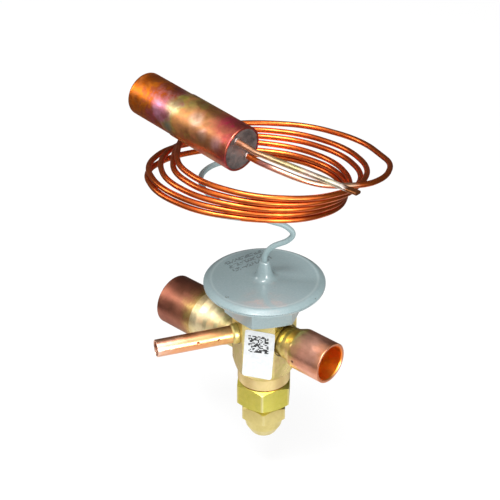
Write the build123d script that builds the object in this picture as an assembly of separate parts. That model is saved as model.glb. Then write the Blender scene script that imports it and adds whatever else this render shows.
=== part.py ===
from build123d import *
from math import cos, radians, sin, sqrt, tan
import os

# Thermostatic expansion valve with a sensing bulb on a coiled capillary.
# Millimetres, +Z up. The origin is where the spindle axis (Z) crosses the
# liquid line's axis (X). The liquid enters from +X and leaves towards -X.

# --- Hexagonal bar body ---------------------------------------------------
BODY_FLATS = 26.0
BODY_SHOULDER_Z = 11.2
BODY_SPIGOT_RADIUS = 10.2
BODY_TOP_Z = 22.0
BODY_BOTTOM_Z = -26.7
BAND_RADIUS = 12.3
BAND_HEIGHT = 6.1
BAND_CHAMFER = 3.4
SPRING_BORE_RADIUS = 8.2
INLET_CHAMBER_RADIUS = 4.0
SEAT_RADIUS = 5.0
SEAT_TOP_Z = -4.0
SEAT_HEIGHT = 4.0
PORT_RADIUS = 2.2

# --- Connections: angle seen from above, height, sizes --------------------
INLET_ANGLE = 0.0
OUTLET_ANGLE = 180.0
OUTLET_Z = -9.1
EQUALIZER_ANGLE = 240.0
EQUALIZER_Z = 0.8
LABEL_ANGLE = 300.0

NECK_ROOT_RADIUS = 7.0
NECK_DEPTH = 3.0
FACE_GROOVE_WIDTH = 0.5
FACE_GROOVE_DEPTH = 0.7

INLET_REACH = 39.2
INLET_SOCKET_RADIUS = 9.6
INLET_SOCKET_BORE = 8.0
INLET_SOCKET_DEPTH = 13.5
INLET_NECK_END = 16.5
INLET_NECK_RADIUS = 7.6
INLET_SPIGOT_RADIUS = 6.6
INLET_SPIGOT_LENGTH = 3.5

OUTLET_REACH = 58.0
OUTLET_TUBE_RADIUS = 12.2
OUTLET_SOCKET_BORE = 11.15
OUTLET_SOCKET_DEPTH = 17.0
OUTLET_TUBE_BORE = 10.8
OUTLET_NECK_RADIUS = 7.6
OUTLET_STEP_END = 36.8
OUTLET_STEPS = 3
OUTLET_BORE_RADIUS = 4.5
OUTLET_SPIGOT_LENGTH = 3.6

EQUALIZER_REACH = 51.4
EQUALIZER_RADIUS = 4.05
EQUALIZER_SOCKET_BORE = 3.25
EQUALIZER_SOCKET_DEPTH = 9.0
EQUALIZER_BORE = 2.6
EQUALIZER_DEPTH = 2.5
FERRULE_RADIUS = 4.7
FERRULE_LENGTH = 3.0
PASSAGE_RADIUS = 1.2
PASSAGE_OFFSET = 8.2

# --- Power head -----------------------------------------------------------
HEAD_RADIUS = 27.5
HEAD_FLATS = 32.0
HEAD_HEX_TURN = 53.8
HEAD_SEAM_Z = 26.4
RIM_BOTTOM_Z = 25.2
HEAD_TOP_Z = 28.3
HEAD_CENTRE_RISE = 0.5
HEAD_WALL = 0.9
RIM_DROP = 1.6
RIM_SLOPE = 2.4
RIM_LAND = 2.6
RIM_UNDER_ROUND = 0.7
DISH_DEPTH = 0.6
BOSS_TOP_Z = 37.3
BOSS_TOP_RADIUS = 2.3
BOSS_FOOT_RADIUS = 5.2
GASKET_THICKNESS = 0.5
DIAPHRAGM_THICKNESS = 0.25
DIAPHRAGM_WAVES = 3
DIAPHRAGM_WAVE_HEIGHT = 0.35
BUFFER_RADIUS = 9.0
BUFFER_THICKNESS = 2.2

# --- Pin, push rods and superheat spring ----------------------------------
ROD_RADIUS = 0.8
ROD_OFFSET = 6.5
CARRIER_TOP_Z = -10.5
CARRIER_THICKNESS = 2.0
CARRIER_RADIUS = 7.4
CARRIER_HUB_RADIUS = 3.2
CARRIER_HUB_LENGTH = 3.5
PIN_SHANK_RADIUS = 1.6
PIN_TIP_RADIUS = 0.6
PIN_CONE_LENGTH = 1.8
SPRING_WIRE_RADIUS = 0.6
SPRING_MEAN_RADIUS = 4.6
SPRING_TURNS = 5
SPRING_SEAT_TOP_Z = -27.5
SPRING_SEAT_THICKNESS = 2.0
SPRING_SEAT_RADIUS = 6.0

# --- Bottom nut, adjusting stem and seal cap ------------------------------
NUT_FLATS = 24.3
NUT_HEX_TURN = 8.0
NUT_GASKET_THICKNESS = 0.6
NUT_HEIGHT = 11.6
NUT_THREAD_LENGTH = 5.2
NUT_BORE_RADIUS = 6.3
NUT_FLOOR_Z = -34.3
NUT_SPIGOT_RADIUS = 8.0
NUT_SPIGOT_LENGTH = 7.6
PACKING_RADIUS = 4.6
PACKING_HEIGHT = 3.8
FOLLOWER_HEIGHT = 3.2
STEM_RADIUS = 2.5
STEM_THREAD_RADIUS = 2.9
STEM_THREAD_LENGTH = 9.0
STEM_COLLAR_RADIUS = 5.0
STEM_COLLAR_HEIGHT = 1.2
STEM_DRIVE_FLATS = 3.4
STEM_DRIVE_LENGTH = 5.5
STEM_END_Z = -52.0
CAP_FLATS = 20.2
CAP_HEX_TURN = 11.0
CAP_WASHER_THICKNESS = 1.6
CAP_WASHER_RADIUS = 10.0
CAP_BOTTOM_Z = -59.0
CAP_HEX_HEIGHT = 8.6
CAP_THREAD_DEPTH = 7.4
CAP_WELL_RADIUS = 5.6
CAP_FLOOR = 3.4

# --- Label ----------------------------------------------------------------
LABEL_WIDTH = 13.8
LABEL_HEIGHT = 26.0
LABEL_CORNER = 1.3
LABEL_THICKNESS = 0.12
LABEL_TILT = 3.6
LABEL_CENTRE_Z = -5.2

# --- Bulb -----------------------------------------------------------------
BULB_END = (5.4, -20.7, 103.5)
BULB_YAW = -3.0
BULB_DIP = 5.0
BULB_RADIUS = 10.0
BULB_WALL = 0.9
BULB_LENGTH = 60.5
BULB_CUP_LENGTH = 25.5
BULB_CUP_STEP = 0.3
BULB_CUP_LAP = 3.0
BULB_ROUND = 1.8
END_PLATE_THICKNESS = 1.4
END_PLATE_RECESS = 0.3
CAPILLARY_EXIT = (-4.8, -3.9)
FILL_EXIT = (4.7, 3.0)

# --- Capillary and filling tube -------------------------------------------
CAPILLARY_RADIUS = 1.25
COIL_CENTRE = (-6.5, -1.7, 74.0)
COIL_BEARING = 41.1
COIL_TILT = 8.0
COIL_LEAN = 4.5
COIL_PITCH = 2.9
COIL_STEPS_PER_TURN = 12
COIL_REACHES = [
    40.5, 42.3, 42.0, 43.8, 41.6, 45.0, 47.0, 40.2,
    37.8, 41.2, 42.6, 44.6, 42.5, 44.4, 46.4, 44.9,
    40.2, 42.2, 43.0, 46.6, 43.9, 42.9, 40.6, 40.6,
    40.9, 45.5, 48.0, 48.6, 45.0, 40.4, 34.6, 39.4,
    41.4, 47.0, 50.6, 50.9, 45.6, 38.4, 33.0, 38.2,
    42.2, 53.8, 59.4,
]
RISER_POINTS = [
    (0.0, 0.0, 31.0),
    (0.0, 0.0, 41.0),
    (3.0, 1.8, 45.5),
    (9.0, 5.2, 49.0),
    (12.0, 6.2, 53.5),
    (9.0, 3.2, 58.0),
    (1.3, -3.4, 61.0),
    (-9.0, -7.5, 62.8),
    (-20.0, -9.6, 64.7),
    (-30.0, -8.2, 66.6),
    (-37.0, -2.0, 68.0),
    (-38.8, 6.5, 68.5),
    (-36.4, 16.0, 68.5),
]
TAIL_POINTS = [
    (44.4, 27.0, 85.6),
    (45.2, 14.2, 87.4),
    (40.6, 3.4, 89.4),
    (36.0, -6.0, 92.0),
    (30.1, -12.9, 95.3),
    (19.1, -17.2, 98.2),
]
FILL_LENGTH = 46.0
FILL_STRAIGHT = 12.0
FILL_LIFT = 8.2
FILL_BEND_RADIUS = 25.0
FILL_NECK_LENGTH = 4.0
FILL_PINCH_LENGTH = 4.5
FILL_PINCH_WIDTH = 3.1
FILL_PINCH_THICKNESS = 1.4

# --- Fits -----------------------------------------------------------------
BRAZE_GAP = 0.03
GUIDE_GAP = 0.05
SLIDE_GAP = 0.1
CORNER_BREAK = 0.4


def lathe(points, rounds=None):
    """Turn a closed (radius, height) outline about Z, rounding the corners named by index."""
    rounds = rounds or {}
    radii = [rounds.get(i, 0.0) for i in range(len(points))]
    outline = FilletPolyline(*[(r, 0, z) for r, z in points], radius=radii, close=True)
    return revolve(make_face(outline), Axis.Z)


def rod(radius, z_low, z_high):
    """A plain cylinder on the Z axis between two heights."""
    return Pos(0, 0, z_low) * Cylinder(
        radius, z_high - z_low, align=(Align.CENTER, Align.CENTER, Align.MIN)
    )


def ring(outer, inner, z_low, z_high):
    """A plain ring on the Z axis between two heights."""
    return rod(outer, z_low, z_high) - rod(inner, z_low, z_high)


def hex_bar(flats, z_low, z_high, turn):
    """A hexagonal bar on the Z axis with one corner at the given turn."""
    section = RegularPolygon(flats / 2, 6, major_radius=False, rotation=turn)
    return Pos(0, 0, z_low) * extrude(section, z_high - z_low)


def corner_radius(flats):
    """Distance from a hexagon's centre to its corners."""
    return flats / 2 / cos(radians(30))


def chamfered_hex(flats, z_low, z_high, turn, drop=1.2):
    """A hexagonal bar whose two ends are turned to the usual 30 degree chamfer."""
    corner = corner_radius(flats)
    land = flats / 2 - 0.3
    envelope = lathe([
        (0, z_low),
        (land, z_low),
        (corner + 0.1, z_low + drop),
        (corner + 0.1, z_high - drop),
        (land, z_high),
        (0, z_high),
    ])
    return hex_bar(flats, z_low, z_high, turn) & envelope


def port(angle, height):
    """Frame of a connection: its Z runs outwards along the connection's axis."""
    outwards = (cos(radians(angle)), sin(radians(angle)), 0)
    return Plane(origin=(0, 0, height), x_dir=(0, 0, 1), z_dir=outwards).location


def frame_point(location, x, y, z):
    """A point given in a frame, in the part's own coordinates."""
    return (location * Pos(x, y, z)).position


INLET = port(INLET_ANGLE, 0)
OUTLET = port(OUTLET_ANGLE, OUTLET_Z)
EQUALIZER = port(EQUALIZER_ANGLE, EQUALIZER_Z)
BODY_FACE = BODY_FLATS / 2
SEAT_BOTTOM_Z = SEAT_TOP_Z - SEAT_HEIGHT
NUT_TOP_Z = BODY_BOTTOM_Z - NUT_GASKET_THICKNESS
NUT_BOTTOM_Z = NUT_TOP_Z - NUT_HEIGHT
CAP_TOP_Z = NUT_BOTTOM_Z - CAP_WASHER_THICKNESS
CUP_BOTTOM_Z = BODY_SHOULDER_Z + GASKET_THICKNESS
DIAPHRAGM_BOTTOM_Z = HEAD_SEAM_Z - DIAPHRAGM_THICKNESS / 2
DIAPHRAGM_TOP_Z = HEAD_SEAM_Z + DIAPHRAGM_THICKNESS / 2
BUFFER_TOP_Z = DIAPHRAGM_BOTTOM_Z - GUIDE_GAP
BUFFER_BOTTOM_Z = BUFFER_TOP_Z - BUFFER_THICKNESS
CAVITY_RADIUS = HEAD_RADIUS - RIM_LAND


# --- Body -----------------------------------------------------------------
def port_cuts(frame, root_radius, root_depth, bore_radius, bore_end):
    """Counterbore, groove in the body's flat and the passage behind one connection."""
    counterbore = rod(root_radius + BRAZE_GAP, BODY_FACE - root_depth, BODY_FACE + 1)
    groove = rod(
        root_radius + FACE_GROOVE_WIDTH, BODY_FACE - FACE_GROOVE_DEPTH, BODY_FACE + 1
    )
    passage = rod(bore_radius, bore_end, BODY_FACE - root_depth + 0.1)
    return frame * (counterbore + groove + passage)


def valve_body():
    """Hexagonal brass bar, turned round at its foot and to a threaded spigot at its top."""
    corner = corner_radius(BODY_FLATS) + 0.1
    band_top = BODY_BOTTOM_Z + BAND_HEIGHT
    envelope = lathe([
        (0, BODY_BOTTOM_Z),
        (BAND_RADIUS - CORNER_BREAK, BODY_BOTTOM_Z),
        (BAND_RADIUS, BODY_BOTTOM_Z + CORNER_BREAK),
        (BAND_RADIUS, band_top),
        (corner, band_top + BAND_CHAMFER),
        (corner, BODY_SHOULDER_Z - CORNER_BREAK),
        (corner - 2 * CORNER_BREAK, BODY_SHOULDER_Z),
        (0, BODY_SHOULDER_Z),
    ])
    body = hex_bar(BODY_FLATS, BODY_BOTTOM_Z, BODY_SHOULDER_Z, 30) & envelope
    body += lathe([
        (0, BODY_SHOULDER_Z - 1),
        (BODY_SPIGOT_RADIUS, BODY_SHOULDER_Z - 1),
        (BODY_SPIGOT_RADIUS, BODY_TOP_Z - CORNER_BREAK),
        (BODY_SPIGOT_RADIUS - CORNER_BREAK, BODY_TOP_Z),
        (0, BODY_TOP_Z),
    ])
    body -= rod(SPRING_BORE_RADIUS, BODY_BOTTOM_Z, SEAT_BOTTOM_Z)
    body -= rod(SEAT_RADIUS, SEAT_BOTTOM_Z, SEAT_TOP_Z)
    body -= rod(INLET_CHAMBER_RADIUS, SEAT_TOP_Z, INLET_CHAMBER_RADIUS)
    body -= port_cuts(INLET, NECK_ROOT_RADIUS, NECK_DEPTH, INLET_CHAMBER_RADIUS, 0)
    outlet_end = SEAT_RADIUS + 1.5
    body -= port_cuts(OUTLET, NECK_ROOT_RADIUS, NECK_DEPTH, OUTLET_BORE_RADIUS, outlet_end)
    passage_end = PASSAGE_OFFSET - PASSAGE_RADIUS
    body -= port_cuts(
        EQUALIZER, EQUALIZER_RADIUS, EQUALIZER_DEPTH, PASSAGE_RADIUS, passage_end
    )
    riser_foot = frame_point(EQUALIZER, 0, 0, PASSAGE_OFFSET)
    body -= Pos(riser_foot.X, riser_foot.Y, 0) * rod(PASSAGE_RADIUS, EQUALIZER_Z, BODY_TOP_Z)
    for side in (-1, 1):
        guide = rod(ROD_RADIUS + GUIDE_GAP, SEAT_BOTTOM_Z, BODY_TOP_Z)
        body -= Pos(0, side * ROD_OFFSET, 0) * guide
    return body


def valve_seat():
    """Hard seat pressed in the body; its lower edge meets the pin's cone."""
    bevel = 0.25
    return lathe([
        (PORT_RADIUS, SEAT_BOTTOM_Z),
        (SEAT_RADIUS - BRAZE_GAP, SEAT_BOTTOM_Z),
        (SEAT_RADIUS - BRAZE_GAP, SEAT_TOP_Z),
        (PORT_RADIUS + 2 * bevel, SEAT_TOP_Z),
        (PORT_RADIUS, SEAT_TOP_Z - 2 * bevel),
    ])


# --- Connections ----------------------------------------------------------
def inlet_neck():
    """Brass nipple in the body's flat; its outer end enters the copper socket."""
    root = BODY_FACE - NECK_DEPTH
    end = INLET_NECK_END + INLET_SPIGOT_LENGTH
    return INLET * lathe(
        [
            (INLET_CHAMBER_RADIUS, root),
            (NECK_ROOT_RADIUS, root),
            (NECK_ROOT_RADIUS, BODY_FACE + 1.0),
            (INLET_NECK_RADIUS, INLET_NECK_END - 0.6),
            (INLET_NECK_RADIUS, INLET_NECK_END),
            (INLET_SPIGOT_RADIUS, INLET_NECK_END),
            (INLET_SPIGOT_RADIUS, end),
            (INLET_CHAMBER_RADIUS, end),
        ],
        {2: 1.5, 3: 0.8},
    )


def inlet_socket():
    """Copper socket, swaged out from the nipple to take the liquid line."""
    start = INLET_NECK_END
    lap = start + INLET_SPIGOT_LENGTH + GUIDE_GAP
    stop = INLET_REACH - INLET_SOCKET_DEPTH
    throat = INLET_SPIGOT_RADIUS + BRAZE_GAP
    chamfer = 0.5
    return INLET * lathe(
        [
            (throat, start),
            (INLET_NECK_RADIUS, start),
            (INLET_NECK_RADIUS, start + 1.2),
            (INLET_SOCKET_RADIUS, start + 5.8),
            (INLET_SOCKET_RADIUS, INLET_REACH),
            (INLET_SOCKET_BORE + chamfer, INLET_REACH),
            (INLET_SOCKET_BORE, INLET_REACH - chamfer),
            (INLET_SOCKET_BORE, stop),
            (throat, stop - 1.6),
            (throat, lap),
        ],
        {2: 1.6, 3: 3.2, 4: 0.3},
    )


def inlet_strainer():
    """Thimble of fine mesh hanging by its flange in the liquid inlet."""
    wall = 0.3
    flange_low = INLET_NECK_END + INLET_SPIGOT_LENGTH
    body_radius = INLET_CHAMBER_RADIUS - SLIDE_GAP
    tip_radius = body_radius * 0.7
    tip = INLET_CHAMBER_RADIUS + 1.0
    flange_radius = INLET_SPIGOT_RADIUS - SLIDE_GAP
    return INLET * lathe([
        (0, tip),
        (tip_radius, tip),
        (body_radius, flange_low),
        (flange_radius, flange_low),
        (flange_radius, flange_low + wall),
        (body_radius - wall, flange_low + wall),
        (tip_radius - wall, tip + wall),
        (0, tip + wall),
    ])


def outlet_reducer():
    """Turned brass cone that widens in steps from the body to the suction-side tube."""
    root = BODY_FACE - NECK_DEPTH
    first = BODY_FACE + 6.0
    pitch = (OUTLET_STEP_END - 1.5 - first) / OUTLET_STEPS
    rise = (OUTLET_TUBE_RADIUS - OUTLET_NECK_RADIUS) / OUTLET_STEPS
    outside = [
        (NECK_ROOT_RADIUS, root),
        (NECK_ROOT_RADIUS, BODY_FACE + 0.6),
        (OUTLET_NECK_RADIUS, BODY_FACE + 1.2),
    ]
    for step in range(OUTLET_STEPS):
        start = first + step * pitch
        radius = OUTLET_NECK_RADIUS + step * rise
        outside.append((radius, start))
        outside.append((radius + rise, start + 0.55 * pitch))
    outside.append((OUTLET_TUBE_RADIUS, OUTLET_STEP_END))
    spigot = OUTLET_TUBE_BORE - BRAZE_GAP
    end = OUTLET_STEP_END + OUTLET_SPIGOT_LENGTH
    mouth = spigot - 1.2
    inside = [
        (spigot, OUTLET_STEP_END),
        (spigot, end),
        (mouth, end),
        (mouth, OUTLET_STEP_END - 3),
        (OUTLET_BORE_RADIUS, first + pitch / 2),
        (OUTLET_BORE_RADIUS, root),
    ]
    return OUTLET * lathe(outside + inside)


def outlet_socket():
    """Copper tube, sized out over the depth of its socket to take the evaporator line."""
    chamfer = 0.4
    return OUTLET * lathe(
        [
            (OUTLET_TUBE_BORE, OUTLET_STEP_END),
            (OUTLET_TUBE_RADIUS, OUTLET_STEP_END),
            (OUTLET_TUBE_RADIUS, OUTLET_REACH),
            (OUTLET_SOCKET_BORE + chamfer, OUTLET_REACH),
            (OUTLET_SOCKET_BORE, OUTLET_REACH - chamfer),
            (OUTLET_SOCKET_BORE, OUTLET_REACH - OUTLET_SOCKET_DEPTH),
            (OUTLET_TUBE_BORE, OUTLET_REACH - OUTLET_SOCKET_DEPTH),
        ],
        {2: 0.5},
    )


def equalizer_tube():
    """Copper tube for the pressure line, bored out at its end as a socket."""
    chamfer = 0.3
    return EQUALIZER * lathe(
        [
            (EQUALIZER_BORE, BODY_FACE - EQUALIZER_DEPTH),
            (EQUALIZER_RADIUS, BODY_FACE - EQUALIZER_DEPTH),
            (EQUALIZER_RADIUS, EQUALIZER_REACH),
            (EQUALIZER_SOCKET_BORE + chamfer, EQUALIZER_REACH),
            (EQUALIZER_SOCKET_BORE, EQUALIZER_REACH - chamfer),
            (EQUALIZER_SOCKET_BORE, EQUALIZER_REACH - EQUALIZER_SOCKET_DEPTH),
            (EQUALIZER_BORE, EQUALIZER_REACH - EQUALIZER_SOCKET_DEPTH),
        ],
        {2: 0.25},
    )


def equalizer_ferrule():
    """Brass collar that seats on the flat round the equalizer tube."""
    inner = EQUALIZER_RADIUS + BRAZE_GAP
    return EQUALIZER * lathe(
        [
            (inner, BODY_FACE),
            (FERRULE_RADIUS, BODY_FACE),
            (FERRULE_RADIUS, BODY_FACE + FERRULE_LENGTH - 0.8),
            (inner + 0.15, BODY_FACE + FERRULE_LENGTH),
            (inner, BODY_FACE + FERRULE_LENGTH),
        ],
        {2: 0.5},
    )


# --- Power head -----------------------------------------------------------
def head_gasket():
    """Flat ring between the body's shoulder and the power head."""
    inner = BODY_SPIGOT_RADIUS + SLIDE_GAP
    return ring(BODY_FACE - CORNER_BREAK, inner, BODY_SHOULDER_Z, CUP_BOTTOM_Z)


def lower_head_cup():
    """Lower half of the head: a wrench hexagon that opens into the diaphragm's dish."""
    cup = chamfered_hex(HEAD_FLATS, CUP_BOTTOM_Z, RIM_BOTTOM_Z + 0.5, HEAD_HEX_TURN, 0.6)
    cup += lathe(
        [
            (0, RIM_BOTTOM_Z),
            (HEAD_RADIUS, RIM_BOTTOM_Z),
            (HEAD_RADIUS, DIAPHRAGM_BOTTOM_Z),
            (0, DIAPHRAGM_BOTTOM_Z),
        ],
        {1: RIM_UNDER_ROUND},
    )
    bore = BODY_SPIGOT_RADIUS + GUIDE_GAP
    cup -= lathe([
        (0, CUP_BOTTOM_Z),
        (bore, CUP_BOTTOM_Z),
        (bore, DIAPHRAGM_BOTTOM_Z - DISH_DEPTH),
        (CAVITY_RADIUS - DISH_DEPTH, DIAPHRAGM_BOTTOM_Z - DISH_DEPTH),
        (CAVITY_RADIUS, DIAPHRAGM_BOTTOM_Z),
        (0, DIAPHRAGM_BOTTOM_Z),
    ])
    return cup


def upper_head_shell():
    """Upper half of the head, rising to the boss that the capillary is brazed into."""
    crown = HEAD_TOP_Z + HEAD_CENTRE_RISE
    hole = CAPILLARY_RADIUS + BRAZE_GAP
    return lathe(
        [
            (hole, BOSS_TOP_Z),
            (BOSS_TOP_RADIUS, BOSS_TOP_Z),
            (BOSS_FOOT_RADIUS - 1.0, crown),
            (HEAD_RADIUS - RIM_SLOPE, HEAD_TOP_Z),
            (HEAD_RADIUS, HEAD_TOP_Z - RIM_DROP),
            (HEAD_RADIUS, DIAPHRAGM_TOP_Z),
            (CAVITY_RADIUS, DIAPHRAGM_TOP_Z),
            (CAVITY_RADIUS - 1.0, HEAD_TOP_Z - HEAD_WALL),
            (BOSS_FOOT_RADIUS, crown - HEAD_WALL),
            (hole, crown - HEAD_WALL),
        ],
        {1: 0.6, 2: 3.2, 3: 2.2, 4: 0.15},
    )


def diaphragm():
    """Thin disc with concentric waves, clamped at its edge between the two shells."""
    flat = BUFFER_RADIUS + 1.0
    wave = (CAVITY_RADIUS - 1.0 - flat) / DIAPHRAGM_WAVES
    lower = [(0, DIAPHRAGM_BOTTOM_Z), (flat, DIAPHRAGM_BOTTOM_Z)]
    for crest in range(DIAPHRAGM_WAVES):
        start = flat + crest * wave
        lower.append((start + wave / 2, DIAPHRAGM_BOTTOM_Z + DIAPHRAGM_WAVE_HEIGHT))
        lower.append((start + wave, DIAPHRAGM_BOTTOM_Z))
    lower.append((HEAD_RADIUS - 0.15, DIAPHRAGM_BOTTOM_Z))
    upper = [(r, z + DIAPHRAGM_THICKNESS) for r, z in reversed(lower)]
    return lathe(lower + upper)


def buffer_plate():
    """Disc under the diaphragm that passes its movement on to the push rods."""
    return lathe(
        [
            (0, BUFFER_BOTTOM_Z),
            (BUFFER_RADIUS, BUFFER_BOTTOM_Z),
            (BUFFER_RADIUS, BUFFER_TOP_Z),
            (0, BUFFER_TOP_Z),
        ],
        {1: 0.5, 2: 0.6},
    )


# --- Pin and spring -------------------------------------------------------
def push_rods():
    """Two rods beside the seat, from the buffer plate down to the pin carrier."""
    one = rod(ROD_RADIUS, CARRIER_TOP_Z, BUFFER_BOTTOM_Z)
    return Compound([Pos(0, side * ROD_OFFSET, 0) * one for side in (-1, 1)])


def valve_pin():
    """Pin whose cone closes the seat from below."""
    tip_z = SEAT_BOTTOM_Z + PIN_CONE_LENGTH
    seal_radius = PORT_RADIUS - GUIDE_GAP
    shoulder_radius = seal_radius + 0.45
    slope = (seal_radius - PIN_TIP_RADIUS) / PIN_CONE_LENGTH
    shoulder_z = SEAT_BOTTOM_Z - 0.45 / slope
    foot = CARRIER_TOP_Z - CARRIER_THICKNESS - CARRIER_HUB_LENGTH
    return lathe([
        (0, foot),
        (PIN_SHANK_RADIUS, foot),
        (PIN_SHANK_RADIUS, shoulder_z - 0.5),
        (shoulder_radius, shoulder_z),
        (PIN_TIP_RADIUS, tip_z),
        (0, tip_z),
    ])


def pin_carrier():
    """Disc that carries the pin, with flow windows and a hub that centres the spring."""
    bottom = CARRIER_TOP_Z - CARRIER_THICKNESS
    hole = PIN_SHANK_RADIUS + BRAZE_GAP
    carrier = ring(CARRIER_RADIUS, hole, bottom, CARRIER_TOP_Z)
    carrier += ring(CARRIER_HUB_RADIUS, hole, bottom - CARRIER_HUB_LENGTH, bottom + 0.1)
    window_radius = 1.9
    window_offset = (CARRIER_HUB_RADIUS + CARRIER_RADIUS) / 2
    for side in (-1, 1):
        window = rod(window_radius, bottom - 0.1, CARRIER_TOP_Z + 0.1)
        carrier -= Pos(side * window_offset, 0, 0) * window
    return carrier


def superheat_spring():
    """Compression spring between the pin carrier and the spring seat."""
    top = CARRIER_TOP_Z - CARRIER_THICKNESS - SPRING_WIRE_RADIUS - GUIDE_GAP
    bottom = SPRING_SEAT_TOP_Z + SPRING_WIRE_RADIUS + GUIDE_GAP
    height = top - bottom
    path = Pos(0, 0, bottom) * Helix(height / SPRING_TURNS, height, SPRING_MEAN_RADIUS)
    section = Plane(origin=path @ 0, z_dir=path % 0) * Circle(SPRING_WIRE_RADIUS)
    return sweep(section, path=path, is_frenet=True)


def spring_seat():
    """Threaded plate that the adjusting stem raises and lowers."""
    bottom = SPRING_SEAT_TOP_Z - SPRING_SEAT_THICKNESS
    hole = STEM_THREAD_RADIUS + SLIDE_GAP
    hub_top = SPRING_SEAT_TOP_Z + 1.5
    hub_radius = SPRING_MEAN_RADIUS - SPRING_WIRE_RADIUS - SLIDE_GAP
    return lathe([
        (hole, bottom),
        (SPRING_SEAT_RADIUS, bottom),
        (SPRING_SEAT_RADIUS, SPRING_SEAT_TOP_Z),
        (hub_radius, SPRING_SEAT_TOP_Z),
        (hub_radius, hub_top),
        (hole, hub_top),
    ])


# --- Bottom nut, stem and cap ---------------------------------------------
def nut_gasket():
    """Copper ring between the body and the bottom nut."""
    inner = SPRING_BORE_RADIUS + SLIDE_GAP
    return ring(BAND_RADIUS - 2 * CORNER_BREAK, inner, NUT_TOP_Z, BODY_BOTTOM_Z)


def bottom_nut():
    """Hexagon nut that closes the spring bore, guides the stem and carries the cap."""
    nut = chamfered_hex(NUT_FLATS, NUT_BOTTOM_Z, NUT_TOP_Z, NUT_HEX_TURN)
    thread = SPRING_BORE_RADIUS - SLIDE_GAP
    nut += rod(thread, NUT_TOP_Z - 0.1, BODY_BOTTOM_Z + NUT_THREAD_LENGTH)
    spigot_end = NUT_BOTTOM_Z - NUT_SPIGOT_LENGTH
    nut += rod(NUT_SPIGOT_RADIUS, spigot_end, NUT_BOTTOM_Z + 0.1)
    nut -= rod(NUT_BORE_RADIUS, NUT_FLOOR_Z, BODY_BOTTOM_Z + NUT_THREAD_LENGTH)
    nut -= rod(STEM_RADIUS + GUIDE_GAP, spigot_end, NUT_FLOOR_Z)
    nut -= rod(PACKING_RADIUS, spigot_end, packing_top())
    return nut


def packing_top():
    """Height of the step that the packing is pressed against."""
    return NUT_BOTTOM_Z - NUT_SPIGOT_LENGTH + FOLLOWER_HEIGHT + PACKING_HEIGHT


def packing_ring():
    """Soft ring that seals the stem."""
    outer = PACKING_RADIUS - GUIDE_GAP
    inner = STEM_RADIUS + GUIDE_GAP
    return ring(outer, inner, packing_top() - PACKING_HEIGHT, packing_top())


def packing_follower():
    """Screwed ring that presses the packing."""
    outer = PACKING_RADIUS - GUIDE_GAP
    inner = STEM_RADIUS + SLIDE_GAP
    top = packing_top() - PACKING_HEIGHT
    return ring(outer, inner, top - FOLLOWER_HEIGHT, top)


def adjusting_stem():
    """Stem with the spring seat's thread at its top and a square at its foot."""
    collar_low = NUT_FLOOR_Z + GUIDE_GAP
    collar_high = collar_low + STEM_COLLAR_HEIGHT
    drive_top = STEM_END_Z + STEM_DRIVE_LENGTH
    stem = rod(STEM_RADIUS, drive_top, collar_low)
    stem += rod(STEM_COLLAR_RADIUS, collar_low, collar_high)
    stem += rod(STEM_THREAD_RADIUS, collar_high, collar_high + STEM_THREAD_LENGTH)
    square = Rectangle(STEM_DRIVE_FLATS, STEM_DRIVE_FLATS)
    return stem + Pos(0, 0, STEM_END_Z) * extrude(square, STEM_DRIVE_LENGTH)


def cap_washer():
    """Copper ring that the seal cap is tightened on."""
    return ring(CAP_WASHER_RADIUS, NUT_SPIGOT_RADIUS + SLIDE_GAP, CAP_TOP_Z, NUT_BOTTOM_Z)


def seal_cap():
    """Hexagon cap with a domed end, screwed over the stem."""
    hex_low = CAP_TOP_Z - CAP_HEX_HEIGHT
    dome_radius = CAP_FLATS / 2 - 1.4
    corner = corner_radius(CAP_FLATS)
    land = CAP_FLATS / 2 - 0.6
    envelope = lathe(
        [
            (0, CAP_BOTTOM_Z),
            (dome_radius - 3.2, CAP_BOTTOM_Z),
            (dome_radius, CAP_BOTTOM_Z + 5.6),
            (dome_radius + 0.3, hex_low),
            (corner + 0.1, hex_low + 1.6),
            (corner + 0.1, CAP_TOP_Z - 1.5),
            (land, CAP_TOP_Z),
            (0, CAP_TOP_Z),
        ],
        {1: 3.4, 2: 2.6},
    )
    cap = hex_bar(CAP_FLATS, CAP_BOTTOM_Z, CAP_TOP_Z, CAP_HEX_TURN) & envelope
    cap -= rod(NUT_SPIGOT_RADIUS + SLIDE_GAP, CAP_TOP_Z - CAP_THREAD_DEPTH, CAP_TOP_Z)
    cap -= rod(CAP_WELL_RADIUS, CAP_BOTTOM_Z + CAP_FLOOR, CAP_TOP_Z - CAP_THREAD_DEPTH)
    return cap


def label():
    """Thin sticker on one flat of the body, a little askew."""
    face = Plane(
        origin=(0, 0, LABEL_CENTRE_Z),
        x_dir=(cos(radians(LABEL_ANGLE + 90)), sin(radians(LABEL_ANGLE + 90)), 0),
        z_dir=(cos(radians(LABEL_ANGLE)), sin(radians(LABEL_ANGLE)), 0),
    ).location
    outline = Rot(0, 0, -LABEL_TILT) * RectangleRounded(LABEL_WIDTH, LABEL_HEIGHT, LABEL_CORNER)
    return face * Pos(0, 0, BODY_FACE) * extrude(outline, LABEL_THICKNESS)


# --- Bulb -----------------------------------------------------------------
def bulb_direction():
    """Unit vector of the bulb's axis, from its closed end towards its tubes."""
    yaw, dip = radians(BULB_YAW), radians(BULB_DIP)
    return Vector(cos(yaw) * cos(dip), sin(yaw) * cos(dip), -sin(dip))


def bulb_frame():
    """Frame at the bulb's closed end: Z along the bulb, X upwards, Y level."""
    along = bulb_direction()
    level = Vector(0, 0, 1).cross(along).normalized()
    origin = Vector(*BULB_END) - along * BULB_LENGTH
    return Plane(origin=origin, x_dir=along.cross(level), z_dir=along).location


BULB = bulb_frame()


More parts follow.
